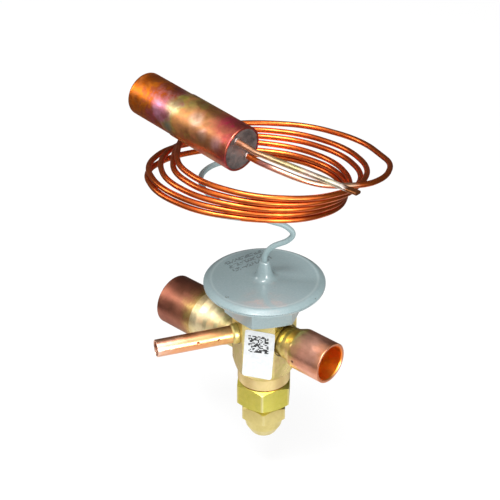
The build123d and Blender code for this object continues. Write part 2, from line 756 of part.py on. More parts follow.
def bulb_cup():
    """Drawn copper cup that closes the bulb and laps inside the shell."""
    outer = BULB_RADIUS - BULB_CUP_STEP
    lap = BULB_RADIUS - BULB_WALL - BRAZE_GAP
    end = BULB_CUP_LENGTH + BULB_CUP_LAP
    return BULB * lathe(
        [
            (0, 0),
            (outer, 0),
            (outer, BULB_CUP_LENGTH),
            (lap, BULB_CUP_LENGTH),
            (lap, end),
            (lap - BULB_WALL, end),
            (lap - BULB_WALL, BULB_WALL),
            (0, BULB_WALL),
        ],
        {1: BULB_ROUND},
    )


def bulb_shell():
    """Copper tube of the bulb, brazed to the cup."""
    return BULB * lathe(
        [
            (BULB_RADIUS - BULB_WALL, BULB_CUP_LENGTH),
            (BULB_RADIUS, BULB_CUP_LENGTH),
            (BULB_RADIUS, BULB_LENGTH),
            (BULB_RADIUS - BULB_WALL, BULB_LENGTH),
        ],
        {1: 0.3, 2: 0.4},
    )


def bulb_end_plate():
    """Disc brazed in the bulb's open end, with holes for the two tubes."""
    top = BULB_LENGTH - END_PLATE_RECESS
    radius = BULB_RADIUS - BULB_WALL - BRAZE_GAP
    plate = rod(radius, top - END_PLATE_THICKNESS, top)
    hole = rod(CAPILLARY_RADIUS + BRAZE_GAP, top - END_PLATE_THICKNESS - 1, top + 1)
    for x, y in (CAPILLARY_EXIT, FILL_EXIT):
        plate -= Pos(x, y, 0) * hole
    return BULB * plate


def bulb_point(exit_xy, distance):
    """A point on the axis of one of the bulb's tubes, that far outside the end plate."""
    x, y = exit_xy
    return frame_point(BULB, x, y, BULB_LENGTH + distance)


# --- Capillary ------------------------------------------------------------
def coil_point(turned):
    """Point of the coil's centre line after so many turns from its back."""
    bearing = radians(COIL_BEARING)
    tilt = radians(COIL_TILT)
    lean = radians(COIL_LEAN)
    level = Vector(cos(bearing), sin(bearing), 0)
    back = Vector(-sin(bearing) * cos(tilt), cos(bearing) * cos(tilt), -sin(tilt))
    right = level * cos(lean) - level.cross(back) * sin(lean)
    eighth = turned * 8
    before = min(int(eighth), len(COIL_REACHES) - 2)
    share = eighth - before
    reach = COIL_REACHES[before] * (1 - share) + COIL_REACHES[before + 1] * share
    angle = radians(360 * turned)
    flat = back * (reach * cos(angle)) + right * (reach * sin(angle))
    return Vector(*COIL_CENTRE) + flat + right.cross(back) * (COIL_PITCH * turned)


def capillary_route():
    """Corners of the capillary's route: riser, coil, and the run back to the bulb."""
    turns = (len(COIL_REACHES) - 1) / 8
    steps = round(turns * COIL_STEPS_PER_TURN)
    coil = [coil_point(turns * i / steps) for i in range(steps + 1)]
    riser = [Vector(*p) for p in RISER_POINTS]
    tail = [Vector(*p) for p in TAIL_POINTS]
    entry = [bulb_point(CAPILLARY_EXIT, 6.0), bulb_point(CAPILLARY_EXIT, -1.0)]
    return riser + coil + tail + entry


def corner_radii(route):
    """Largest tangent arc that the runs beside each corner leave room for."""
    radii = []
    for before, corner, after in zip(route, route[1:], route[2:]):
        run_in = corner - before
        run_out = after - corner
        turn = radians(run_in.get_angle(run_out))
        shorter = min(run_in.length, run_out.length)
        radii.append(0.45 * shorter / tan(turn / 2))
    return radii


def capillary_tube():
    """Copper capillary from the head's boss, round the coil and into the bulb."""
    route = capillary_route()
    radii = corner_radii(route)
    path = FilletPolyline(*route, radius=radii)
    section = Plane(origin=path @ 0, z_dir=path % 0) * Circle(CAPILLARY_RADIUS)
    tube = sweep(section, path=path)
    bends = [round(r, 1) for r in radii]
    print("capillary length", round(path.length, 1), "bend radii", min(bends), "to", max(bends))
    print("capillary volume against section x length",
          round(tube.volume / (3.14159265 * CAPILLARY_RADIUS**2 * path.length), 5))
    return tube


def fill_tube():
    """Filling tube, bent a little upwards, pinched flat and cut at its end."""
    start = BULB_LENGTH - END_PLATE_RECESS - END_PLATE_THICKNESS
    corner = Vector(0, 0, start + FILL_STRAIGHT)
    lift = radians(FILL_LIFT)
    onward = Vector(sin(lift), 0, cos(lift))
    neck = corner + onward * FILL_LENGTH
    path = FilletPolyline(Vector(0, 0, start), corner, neck, radius=FILL_BEND_RADIUS)
    tube = sweep(Plane(origin=(0, 0, start)) * Circle(CAPILLARY_RADIUS), path=path)
    end_plane = Plane(origin=neck, x_dir=(cos(lift), 0, -sin(lift)), z_dir=onward)
    flat = RectangleRounded(
        FILL_PINCH_THICKNESS, FILL_PINCH_WIDTH, FILL_PINCH_THICKNESS * 0.45
    )
    pinch_plane = end_plane.offset(FILL_NECK_LENGTH)
    tube += loft([end_plane * Circle(CAPILLARY_RADIUS), pinch_plane * flat])
    tube += extrude(pinch_plane * flat, FILL_PINCH_LENGTH)
    x, y = FILL_EXIT
    return BULB * Pos(x, y, 0) * tube


PIECES = {
    "valve_body": valve_body,
    "valve_seat": valve_seat,
    "inlet_neck": inlet_neck,
    "inlet_socket": inlet_socket,
    "inlet_strainer": inlet_strainer,
    "outlet_reducer": outlet_reducer,
    "outlet_socket": outlet_socket,
    "equalizer_tube": equalizer_tube,
    "equalizer_ferrule": equalizer_ferrule,
    "head_gasket": head_gasket,
    "lower_head_cup": lower_head_cup,
    "upper_head_shell": upper_head_shell,
    "diaphragm": diaphragm,
    "buffer_plate": buffer_plate,
    "push_rods": push_rods,
    "valve_pin": valve_pin,
    "pin_carrier": pin_carrier,
    "superheat_spring": superheat_spring,
    "spring_seat": spring_seat,
    "nut_gasket": nut_gasket,
    "bottom_nut": bottom_nut,
    "packing_ring": packing_ring,
    "packing_follower": packing_follower,
    "adjusting_stem": adjusting_stem,
    "cap_washer": cap_washer,
    "seal_cap": seal_cap,
    "label": label,
    "bulb_cup": bulb_cup,
    "bulb_shell": bulb_shell,
    "bulb_end_plate": bulb_end_plate,
    "capillary_tube": capillary_tube,
    "fill_tube": fill_tube,
}

os.makedirs("parts", exist_ok=True)
for name, build in PIECES.items():
    export_step(build(), f"parts/{name}.step")
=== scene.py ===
# %% [markdown]
# # A thermostatic expansion valve and its finishes
#
# The valve arrives as a rigid frame of metal pieces that already have their true
# shape and size. What is left for Blender is the looks: the studio, the finishes
# of the metals, the paint and the label, and the small beads of brazing alloy.
# Meshes are in metres, in the frame's own coordinates. The patterns on them and
# the tables below are in millimetres, because a valve is thought of in those.

# %% Load the frame
import bpy
import bmesh
import math
import random
from mathutils import Euler, Matrix, Vector


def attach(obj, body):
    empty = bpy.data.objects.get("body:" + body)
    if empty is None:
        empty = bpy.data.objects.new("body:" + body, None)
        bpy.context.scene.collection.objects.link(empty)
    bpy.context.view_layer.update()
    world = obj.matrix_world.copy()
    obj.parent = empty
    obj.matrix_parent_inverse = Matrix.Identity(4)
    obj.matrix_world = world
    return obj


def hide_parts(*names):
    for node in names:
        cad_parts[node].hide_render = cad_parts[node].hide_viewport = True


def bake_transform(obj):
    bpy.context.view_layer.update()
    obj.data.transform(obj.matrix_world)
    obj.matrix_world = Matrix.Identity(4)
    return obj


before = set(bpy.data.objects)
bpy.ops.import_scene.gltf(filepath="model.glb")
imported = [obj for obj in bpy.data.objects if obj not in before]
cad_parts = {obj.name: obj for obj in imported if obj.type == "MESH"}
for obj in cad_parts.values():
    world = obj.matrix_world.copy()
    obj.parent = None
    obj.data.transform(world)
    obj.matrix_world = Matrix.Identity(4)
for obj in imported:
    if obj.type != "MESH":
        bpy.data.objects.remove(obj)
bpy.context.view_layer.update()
scene = bpy.context.scene
scene.view_settings.view_transform = "Standard"
MM = 0.001
ORIGIN = (0, 0, 0)
UP = (0, 0, 1)
print("frame pieces:", len(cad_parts))

# %% [markdown]
# ## Camera
#
# A long lens keeps the tubes from splaying apart. The camera could be turned by
# hand with Euler angles; aiming it at a point is easier to read and to change.

# %% Camera
LENS = 100.8
CAMERA_PLACE = (0.34566, -0.39581, 0.37262)
CAMERA_TARGET = (-0.02163, 0.01441, 0.02720)


def aimed(location, target):
    """Matrix of an object at location whose -Z looks at target."""
    look = Vector(target) - Vector(location)
    turn = look.to_track_quat("-Z", "Y").to_matrix().to_4x4()
    return Matrix.Translation(location) @ turn


camera_data = bpy.data.cameras.new("camera")
camera_data.lens = LENS
camera_data.sensor_width = 36.0
camera_data.clip_end = 20.0
camera = bpy.data.objects.new("camera", camera_data)
scene.collection.objects.link(camera)
camera.matrix_world = aimed(CAMERA_PLACE, CAMERA_TARGET)
scene.camera = camera
print("camera at", [round(c, 3) for c in camera.matrix_world.translation])

# %% [markdown]
# ## Small helpers for node trees
#
# A material is a graph, and wiring it with long calls hides what it does. A few
# short helpers are enough: one makes any node with its values set, and the others
# name what is done most, such as one sum, one mix, or one tint laid over another.

# %% Node and number helpers
def add(tree, kind, inputs=None, **settings):
    """Make a node: settings are its properties, inputs its socket values by name or number."""
    made = tree.nodes.new("ShaderNode" + kind)
    for name, value in settings.items():
        setattr(made, name, value)
    for name, value in (inputs or {}).items():
        if isinstance(value, bpy.types.NodeSocket):
            tree.links.new(value, made.inputs[name])
        else:
            made.inputs[name].default_value = value
    return made


def maths(tree, operation, a, b=0.0, c=0.0):
    """One Math node; its three values may be numbers or sockets."""
    return add(tree, "Math", {0: a, 1: b, 2: c}, operation=operation).outputs[0]


def times(tree, a, b):
    """Two values multiplied."""
    return maths(tree, "MULTIPLY", a, b)


def largest(tree, values):
    """The greatest of several values."""
    total = values[0]
    for value in values[1:]:
        total = maths(tree, "MAXIMUM", total, value)
    return total


def within(tree, value, low, high):
    """1 where a value lies between two limits, 0 elsewhere."""
    above = maths(tree, "GREATER_THAN", value, low)
    return times(tree, above, maths(tree, "LESS_THAN", value, high))


def spread(tree, value, low, high, to_low=0.0, to_high=1.0):
    """Carry a value's range over to another one, clamped and eased at both ends."""
    ends = {"From Min": low, "From Max": high, "To Min": to_low, "To Max": to_high}
    made = add(tree, "MapRange", {"Value": value, **ends}, interpolation_type="SMOOTHSTEP")
    return made.outputs["Result"]


# %% Colour helpers
def blend(tree, mask, first, second):
    """Mix two colours by a mask; each colour may be a socket or three numbers."""
    first, second = (
        c if isinstance(c, bpy.types.NodeSocket) else (*c, 1.0) for c in (first, second))
    return add(tree, "Mix", {0: mask, 6: first, 7: second}, data_type="RGBA").outputs[2]


def glaze(tree, colour, mask, strength, tint):
    """Lay a tint over a colour where the mask is, as strongly as asked."""
    return blend(tree, times(tree, mask, strength), colour, tint)


def ramp(tree, value, stops):
    """Colour ramp with (position, colour) stops."""
    made = add(tree, "ValToRGB", {"Fac": value})
    elements = made.color_ramp.elements
    while len(elements) < len(stops):
        elements.new(0.5)
    for element, (position, colour) in zip(elements, stops):
        element.position = position
        element.color = (*colour, 1.0)
    return made.outputs["Color"]


# %% [markdown]
# ## Studio
#
# The background is plain white. Metal shows whatever stands round it, so a studio
# for metal also has dark cards out of the camera's view: without them a copper
# tube would have no dark edge. The cards are stage pieces that only mirrors see.

# %% World
ROOM_LIGHT = 0.6
WHITE = (1, 1, 1, 1)


def show_white(tree, shader, white, share=1.0):
    """Give camera, mirror and see-through rays a share of the white shader, and others none."""
    path = add(tree, "LightPath").outputs
    kinds = [path["Is %s Ray" % kind] for kind in ("Camera", "Glossy", "Transmission")]
    mix = add(tree, "MixShader", {0: times(tree, largest(tree, kinds), share), 1: shader, 2: white})
    return mix.outputs[0]


world = bpy.data.worlds.new("studio")
world.use_nodes = True
world.node_tree.nodes.clear()
scene.world = world
tree = world.node_tree
room = add(tree, "Background", {"Color": WHITE, "Strength": ROOM_LIGHT})
paper = add(tree, "Background", {"Color": WHITE, "Strength": 1.0})
surface = show_white(tree, room.outputs[0], paper.outputs[0])
add(tree, "OutputWorld", {"Surface": surface})
print("world strength for diffuse light", ROOM_LIGHT)

# %% [markdown]
# The cap screws off downwards, so the floor lies below the whole of its travel:
# with the floor at its foot, the cap would sink out of sight as it came off. Most
# of the floor's colour is plain white paper, and the rest is matt paint that
# takes the object's soft shadow. The cards stay at the foot of the closed cap.

# %% Floor
FLOOR_Z = -0.085
FLOOR_RADIUS = 6.0
FLOOR_PAINT = (0.82, 0.82, 0.82, 1)
PAPER_SHARE = 0.85


def plain_mesh(name, shape):
    """Make a mesh object from a function that fills a bmesh."""
    bm = bmesh.new()
    shape(bm)
    mesh = bpy.data.meshes.new(name)
    bm.to_mesh(mesh)
    bm.free()
    made = bpy.data.objects.new(name, mesh)
    scene.collection.objects.link(made)
    return made


def floor_shape(bm):
    """A wide flat disc."""
    bmesh.ops.create_circle(bm, cap_ends=True, segments=64, radius=FLOOR_RADIUS)
    bmesh.ops.translate(bm, verts=bm.verts, vec=(0, 0, FLOOR_Z))


floor = plain_mesh("floor", floor_shape)
floor_paint = bpy.data.materials.new("white_floor")
floor_paint.use_nodes = True
tree = floor_paint.node_tree
tree.nodes.clear()
matt = add(tree, "BsdfDiffuse", {"Color": FLOOR_PAINT})
paper = add(tree, "Emission", {"Color": WHITE, "Strength": 1.0})
surface = show_white(tree, matt.outputs[0], paper.outputs[0], PAPER_SHARE)
add(tree, "OutputMaterial", {"Surface": surface})
floor.data.materials.append(floor_paint)
print("floor at", FLOOR_Z, "m")

# %% Shapes of the cards
CARD_Z = -0.0625
CARD_LIFT = 0.001
CARD_INNER = 0.15
CARD_OUTER = 1.3
BACK_BEARING = 131.8
DOME_SWEEP = 224
NEAR_LIFT = 0.0005
NEAR_INNER = 0.035
NEAR_WEDGES = ((BACK_BEARING, 130), (BACK_BEARING + 115, 46), (BACK_BEARING - 115, 46))


def card_shape(bm):
    """A flat ring: the light from far below is dark, from near below pale."""
    bmesh.ops.create_circle(bm, segments=64, radius=CARD_OUTER)
    edges = bm.edges[:]
    grown = bmesh.ops.extrude_edge_only(bm, edges=edges)
    inner = [v for v in grown["geom"] if isinstance(v, bmesh.types.BMVert)]
    bmesh.ops.scale(bm, verts=inner, vec=(CARD_INNER / CARD_OUTER,) * 2 + (1,))
    bmesh.ops.translate(bm, verts=bm.verts, vec=(0, 0, CARD_Z + CARD_LIFT))


def swept(bm, points, start, sweep, steps):
    """A line of points in the XZ plane, swept about Z from one bearing on, in degrees."""
    corners = [bm.verts.new((x, 0, z)) for x, z in points]
    edges = [bm.edges.new(pair) for pair in zip(corners, corners[1:])]
    bmesh.ops.rotate(bm, verts=corners, matrix=Matrix.Rotation(math.radians(start), 3, "Z"))
    bmesh.ops.spin(bm, geom=corners + edges, cent=ORIGIN, axis=UP,
                   angle=math.radians(sweep), steps=steps)


def dome_shape(bm):
    """Part of a dome behind the object, from the horizon to well above it."""
    rise = [math.radians(6 * i) for i in range(12)]
    profile = [(CARD_OUTER * math.cos(e), CARD_OUTER * math.sin(e) + CARD_Z) for e in rise]
    swept(bm, profile, BACK_BEARING - DOME_SWEEP / 2, DOME_SWEEP, 48)


def near_shape(bm):
    """Three flat wedges close by: one behind the object and one on either side."""
    for middle, width in NEAR_WEDGES:
        profile = [(r, CARD_Z + NEAR_LIFT) for r in (NEAR_INNER, CARD_INNER)]
        swept(bm, profile, middle - width / 2, width, 12)


# %% Dark cards
DARK_SHADE = 0.07
GREY_SHADE = 0.36


def felt_material(name, shade):
    """Plain warm cloth for a card: only its shade matters."""
    material = bpy.data.materials.new(name)
    material.use_nodes = True
    tree = material.node_tree
    tree.nodes.clear()
    cloth = add(tree, "BsdfDiffuse", {"Color": (shade, shade * 0.9, shade * 0.82, 1)})
    add(tree, "OutputMaterial", {"Surface": cloth.outputs[0]})
    return material


dark = felt_material("dark_card", DARK_SHADE)
grey = felt_material("grey_card", GREY_SHADE)
for name, shape, felt in (
        ("floor_card", card_shape, dark),
        ("dome_card", dome_shape, dark),
        ("near_card", near_shape, grey)):
    card = plain_mesh(name, shape)
    card.data.materials.append(felt)
    card.visible_camera = False
    card.visible_shadow = False
    card.visible_diffuse = False
    print(name, len(card.data.polygons), "faces")

# %% [markdown]
# Three soft boxes light the valve: a large one above and in front, and a smaller
# one on either side, whose reflections run as bright lines along the tubes.

# %% Lamps
def softbox(name, location, target, size, watts):
    """A rectangular area lamp aimed at a point."""
    data = bpy.data.lights.new(name, "AREA")
    data.shape = "RECTANGLE"
    data.size, data.size_y = size
    data.energy = watts
    lamp = bpy.data.objects.new(name, data)
    scene.collection.objects.link(lamp)
    lamp.matrix_world = aimed(location, target)
    lamp.visible_camera = False


softbox("key", (0.20, -0.45, 1.10), (0, 0, 0.03), size=(0.55, 0.40), watts=18.0)
softbox("left", (-0.95, -0.55, 0.60), (0, 0, 0.03), size=(0.25, 0.60), watts=5.0)
softbox("right", (0.90, -0.35, 0.18), (0.03, 0, 0.0), size=(0.30, 0.30), watts=7.0)

# %% [markdown]
# ## Shared surface effects
#
# The same few things happen to every metal here: hands and heat stain it in
# clouds, a die or a tool leaves fine lines, a hammer or a clamp leaves a dent.
# Each is a node group, so that a change to one is a change everywhere. The
# groups take the object's own coordinates in millimetres.

# %% Group and place helpers
def new_group(name, inputs, outputs):
    """An empty shader group: (name, kind, default) inputs and (name, kind) outputs."""
    group = bpy.data.node_groups.new(name, "ShaderNodeTree")
    for title, kind, default in inputs:
        socket = group.interface.new_socket(title, in_out="INPUT", socket_type="NodeSocket" + kind)
        socket.default_value = default
    for title, kind in outputs:
        group.interface.new_socket(title, in_out="OUTPUT", socket_type="NodeSocket" + kind)
    given = group.nodes.new("NodeGroupInput").outputs
    return group, given, group.nodes.new("NodeGroupOutput").inputs


def stretched(tree, place, scale):
    """Coordinates times a vector: small numbers draw a pattern out along that axis."""
    return add(tree, "VectorMath", {0: place, 1: scale}, operation="MULTIPLY").outputs[0]


def distance(tree, place, point):
    """Distance between two places."""
    return add(tree, "VectorMath", {0: place, 1: point}, operation="DISTANCE").outputs["Value"]


# %% Clouds
# A wide soft noise, and a finer one, each between two thresholds.
clouds, given, result = new_group(
    "clouds",
    [("Place", "Vector", ORIGIN), ("Size", "Float", 8.0), ("Shift", "Float", 0.0)],
    [("Mask", "Float"), ("Fine", "Float")],
)
rate = maths(clouds, "DIVIDE", 1.0, given["Size"])
place = add(clouds, "VectorMath", {0: given["Place"], "Scale": rate}, operation="SCALE").outputs[0]
sample = {"Vector": place, "W": given["Shift"]}
wide = add(clouds, "TexNoise",
           {**sample, "Scale": 1.0, "Detail": 4.0, "Roughness": 0.62, "Distortion": 0.5},
           noise_dimensions="4D").outputs[0]
fine = add(clouds, "TexNoise", {**sample, "Scale": 3.6, "Detail": 2.0, "Roughness": 0.5},
           noise_dimensions="4D").outputs[0]
clouds.links.new(spread(clouds, wide, 0.36, 0.66), result["Mask"])
clouds.links.new(spread(clouds, fine, 0.35, 0.68), result["Fine"])
print("clouds:", len(clouds.nodes), "nodes")

# %% Drawn grain
# Noise squeezed across the draw and long along it.
grain, given, result = new_group(
    "drawn_grain", [("Place", "Vector", ORIGIN), ("Stretch", "Vector", (1, 1, 1))],
    [("Lines", "Float")],
)
place = stretched(grain, given["Place"], given["Stretch"])
lines = add(grain, "TexNoise", {"Vector": place, "Scale": 1.0, "Detail": 2.0, "Roughness": 0.6})
grain.links.new(lines.outputs[0], result["Lines"])
print("drawn grain:", len(grain.nodes), "nodes")

# %% Turned marks
# Rings that follow one another along an axis, unevenly deep.
turned, given, result = new_group(
    "turned_marks", [("Along", "Float", 0.0), ("Pitch", "Float", 0.4)], [("Rings", "Float")])
step = maths(turned, "DIVIDE", given["Along"], given["Pitch"])
depth = add(turned, "TexNoise", {"W": step, "Scale": 1.7, "Detail": 2.0},
            noise_dimensions="1D").outputs[0]
wave = maths(turned, "SINE", times(turned, step, 2 * math.pi))
turned.links.new(maths(turned, "MULTIPLY_ADD", wave, 0.3, depth), result["Rings"])
print("turned marks:", len(turned.nodes), "nodes")

# %% Dent
# A round hollow at one point, 1 inside it and 0 outside.
dent, given, result = new_group(
    "dent", [("Place", "Vector", ORIGIN), ("Centre", "Vector", ORIGIN), ("Radius", "Float", 1.0)],
    [("Hollow", "Float")],
)
share = maths(dent, "DIVIDE", distance(dent, given["Place"], given["Centre"]), given["Radius"])
dent.links.new(spread(dent, share, 0.2, 1.0, 1.0, 0.0), result["Hollow"])
print("groups:", [g.name for g in bpy.data.node_groups])


# %% Calling the groups
def use(tree, group, output, **inputs):
    """Put a group into a tree and give one of its outputs."""
    return add(tree, "Group", inputs, node_tree=group).outputs[output]


def clouded(tree, place, size, shift):
    """Two masks of one stain: its clouds and its fine specks."""
    return [use(tree, clouds, mask, Place=place, Size=size, Shift=shift)
            for mask in ("Mask", "Fine")]


def hollows(tree, place, dents):
    """One mask per dent, from (centre, radius) pairs."""
    return [use(tree, dent, "Hollow", Place=place, Centre=c, Radius=r) for c, r in dents]


def along(tree, place, start, axis):
    """Distance in millimetres from a start point along an axis."""
    offset = add(tree, "VectorMath", {0: place, 1: start}, operation="SUBTRACT").outputs[0]
    return add(tree, "VectorMath", {0: offset, 1: axis}, operation="DOT_PRODUCT").outputs["Value"]


def off_axis(tree, place, point, axis):
    """Distance in millimetres from the line through a point."""
    offset = add(tree, "VectorMath", {0: place, 1: point}, operation="SUBTRACT").outputs[0]
    crossed = add(tree, "VectorMath", {0: offset, 1: axis}, operation="CROSS_PRODUCT").outputs[0]
    return add(tree, "VectorMath", {0: crossed}, operation="LENGTH").outputs["Value"]


# %% Making and giving a material
def new_material(name, **values):
    """A Principled material: gives it, its tree, its shader and the place in millimetres."""
    material = bpy.data.materials.new(name)
    material.use_nodes = True
    tree = material.node_tree
    tree.nodes.clear()
    shader = add(tree, "BsdfPrincipled", {k.replace("_", " "): v for k, v in values.items()})
    add(tree, "OutputMaterial", {"Surface": shader.outputs[0]})
    own = add(tree, "TexCoord").outputs["Object"]
    return material, tree, shader, stretched(tree, own, (1 / MM,) * 3)


def dress(tree, shader, colour, roughness=None, height=None, relief=None, metallic=None):
    """Join colour, roughness, metal share and a relief in millimetres to a material's shader."""
    for socket, value in (("Base Color", colour), ("Roughness", roughness), ("Metallic", metallic)):
        if value is not None:
            tree.links.new(value, shader.inputs[socket])
    if height is not None:
        bump = add(tree, "Bump", {"Strength": 1.0, "Distance": relief * MM, "Height": height})
        tree.links.new(bump.outputs[0], shader.inputs["Normal"])


def wear(material, *names):
    """Give frame pieces a material."""
    for name in names:
        mesh = bpy.data.objects[name].data
        mesh.materials.clear()
        mesh.materials.append(material)
    print(material.name, "on", ", ".join(names))


# %% [markdown]
# ## Capillary
#
# The capillary and its coil are thin drawn copper, bright where it was handled
# and brown where the air got at it. Clouds choose between the two.

# %% Coil copper
BRIGHT_COPPER = (0.95, 0.205, 0.036)
BROWN_COPPER = (0.36, 0.050, 0.016)
WARM_SPECK = (0.90, 0.36, 0.14)

coil_copper, tree, shader, place = new_material("coil_copper", Metallic=1.0, Roughness=0.34)
cloudy, speck = clouded(tree, place, 9.0, 1.0)
brown = maths(tree, "MULTIPLY_ADD", cloudy, 0.5, 0.12)
copper = blend(tree, brown, BRIGHT_COPPER, BROWN_COPPER)
copper = glaze(tree, copper, speck, 0.06, WARM_SPECK)
print("coil copper:", len(tree.nodes), "nodes so far")

# %% [markdown]
# The tail that runs to the bulb was heated there and turned pink. The first
# stretch near the head was caught by the spray gun, so it carries the head's
# paint. Both could be separate pieces; masks in the coil's own three directions
# do it without a cut in the tube.

# %% Heated tail
PINK_COPPER = (0.94, 0.60, 0.40)
ROSE_COPPER = (0.80, 0.34, 0.30)
COIL_CENTRE = (-6.5, -1.7, 74.0)
COIL_RIGHT = (0.74, 0.66, -0.08)
COIL_UP = (-0.05, 0.14, 0.98)
COIL_BACK = (-0.65, 0.75, -0.14)
TAIL_ROOT = (8.0, -20.0, 102.0)

right, up, back = (
    along(tree, place, COIL_CENTRE, way) for way in (COIL_RIGHT, COIL_UP, COIL_BACK))
above = spread(tree, up, 13.15, 13.35)
rightward = spread(tree, right, -8.5, -7.5)
forward = times(tree, spread(tree, back, -28.5, -26.5, 1.0, 0.0), spread(tree, back, -38.0, -37.0))
heated = times(tree, above, times(tree, rightward, forward))
from_bulb = spread(tree, distance(tree, place, TAIL_ROOT), 2.0, 26.0)
copper = glaze(tree, copper, heated, 0.9, blend(tree, from_bulb, ROSE_COPPER, PINK_COPPER))
print("with the heated tail:", len(tree.nodes), "nodes so far")

# %% Paint on the riser
PAINT = (0.198, 0.268, 0.276)
PAINT_TOP_Z = 66

low = spread(tree, along(tree, place, (0, 0, PAINT_TOP_Z), UP), -0.6, 0.6, 1.0, 0.0)
side = spread(tree, right, -5.5, -4.0, 1.0, 0.0)
under = spread(tree, up, 0.9, 1.4, 1.0, 0.0)
painted = maths(tree, "MAXIMUM", low, times(tree, side, under))
bare = maths(tree, "SUBTRACT", 1.0, painted)
colour = blend(tree, painted, copper, PAINT)
roughness = maths(tree, "MULTIPLY_ADD", cloudy, 0.06, 0.30)
roughness = maths(tree, "MAXIMUM", roughness, times(tree, painted, 0.42))
dress(tree, shader, colour, roughness, metallic=bare)
wear(coil_copper, "capillary_tube")

# %% [markdown]
# ## Head
#
# The head is sprayed blue-grey over steel: satin, slightly pebbled like orange
# peel, with dust in it and a few knocks that have gone dark. The raised ridge
# round the disc is painted paler: thinner paint there, and a painted highlight
# where the ridge would catch the light. Masks by place put each mark where it belongs.

# %% Head paint
PAINT_CLOUD = (0.20, 0.265, 0.29)
PAINT_DUST = (0.42, 0.47, 0.48)
RIDGE_THIN_PAINT_AND_HIGHLIGHT = (0.50, 0.58, 0.60)
KNOCK_DARK = (0.05, 0.035, 0.028)
KNOCKS = (((-2.1, -22.6, 28.0), 1.5), ((27.0, 3.8, 27.8), 1.4), ((-23.5, 11.0, 27.8), 1.2))
RIDGE_RADIUS = 24.0

paint, tree, shader, place = new_material(
    "head_paint", Metallic=0.0, Roughness=0.38, Coat_Weight=0.85, Coat_Roughness=0.08, IOR=1.5)
cloudy = use(tree, clouds, "Mask", Place=place, Size=16.0, Shift=3.0)
speck = use(tree, clouds, "Fine", Place=place, Size=3.2, Shift=5.0)
colour = glaze(tree, PAINT, cloudy, 0.25, PAINT_CLOUD)
colour = glaze(tree, colour, speck, 0.10, PAINT_DUST)
knocks = largest(tree, hollows(tree, place, KNOCKS))
ragged = times(tree, knocks, maths(tree, "MULTIPLY_ADD", speck, 0.8, 0.35))
colour = blend(tree, spread(tree, ragged, 0.35, 0.5, 0.0, 0.85), colour, KNOCK_DARK)
# Painted highlight: the ridge is made paler in colour, as if it caught the light; thinner paint on
# the ridge adds to it.
ridge = maths(tree, "SUBTRACT", off_axis(tree, place, ORIGIN, UP), RIDGE_RADIUS)
ridge = spread(tree, maths(tree, "ABSOLUTE", ridge), 0.0, 0.9, 1.0, 0.0)
upper = spread(tree, along(tree, place, ORIGIN, UP), 27.0, 27.6)
colour = glaze(tree, colour, times(tree, ridge, upper), 0.18, RIDGE_THIN_PAINT_AND_HIGHLIGHT)
print("head paint:", len(tree.nodes), "nodes so far")

# %% [markdown]
# An ink jet left three rows of dots on the disc. The dots are a made-up pattern
# that says nothing: white noise chooses the cells of a grid, and each chosen cell
# gets one round spot.

# %% Ink dots
INK = (0.035, 0.045, 0.055)
DISC_Z = 27.6
DOT_START = (-22.9, -3.3, 28.3)
DOT_WAY = (0.243, 0.970, 0)
DOT_ROW_WAY = (-0.970, 0.243, 0)
DOT_PITCH = 0.80
DOT_ROW = 3.4
DOT_ROWS = 3
DOT_RUN = 21.0
ROWS_BELOW = 30


def random_cells(tree, run, across, pitch, seed, threshold):
    """1 in the cells of a square grid that white noise chooses, 0 in the others."""
    column, line = (maths(tree, "FLOOR", maths(tree, "DIVIDE", v, pitch)) for v in (run, across))
    cell = add(tree, "CombineXYZ", {0: column, 1: line, 2: seed}).outputs[0]
    noise = add(tree, "TexWhiteNoise", {"Vector": cell}).outputs["Value"]
    return maths(tree, "GREATER_THAN", noise, threshold)


def from_cell_middle(tree, value):
    """Where a value stands in its cell, from -0.5 to 0.5."""
    part = maths(tree, "FRACT", maths(tree, "DIVIDE", value, DOT_PITCH))
    return maths(tree, "SUBTRACT", part, 0.5)


run = along(tree, place, DOT_START, DOT_WAY)
across = along(tree, place, DOT_START, DOT_ROW_WAY)
chosen = random_cells(tree, run, across, DOT_PITCH, seed=4.0, threshold=0.46)
u, v = from_cell_middle(tree, run), from_cell_middle(tree, across)
spot = maths(tree, "SQRT", maths(tree, "ADD", times(tree, u, u), times(tree, v, v)))
dots = times(tree, chosen, spread(tree, spot, 0.36, 0.56, 1.0, 0.0))
row = maths(tree, "MODULO", maths(tree, "ADD", across, ROWS_BELOW * DOT_ROW), DOT_ROW)
dots = times(tree, dots, maths(tree, "LESS_THAN", row, 0.72 * DOT_ROW))
dots = times(tree, dots, within(tree, run, 0.0, DOT_RUN))
dots = times(tree, dots, within(tree, across, -DOT_ROWS * DOT_ROW, 0.0))
on_disc = maths(tree, "GREATER_THAN", along(tree, place, (0, 0, DISC_Z), UP), 0.0)
colour = glaze(tree, colour, times(tree, dots, on_disc), 0.8, INK)
peel = add(tree, "TexNoise", {"Vector": place, "Scale": 0.9, "Detail": 2.0}).outputs[0]
roughness = maths(tree, "MULTIPLY_ADD", cloudy, 0.10, 0.32)
dress(tree, shader, colour, roughness, peel, 0.035)
wear(paint, "upper_head_shell", "lower_head_cup")

# %% [markdown]
# ## Body
#
# The body is cut from drawn hexagon bar. The flats keep the fine lines of the
# drawing die, and the turned foot and neck show rings: two masks by height tell
# the one finish from the other.

# %% Body brass
BRASS = (0.80, 0.66, 0.28)
OLIVE_BRASS = (0.52, 0.46, 0.13)
PINK_BRASS = (0.80, 0.55, 0.33)
TURNED_BRASS = (0.84, 0.66, 0.32)
DRAWN_LINE = (0.36, 0.29, 0.10)

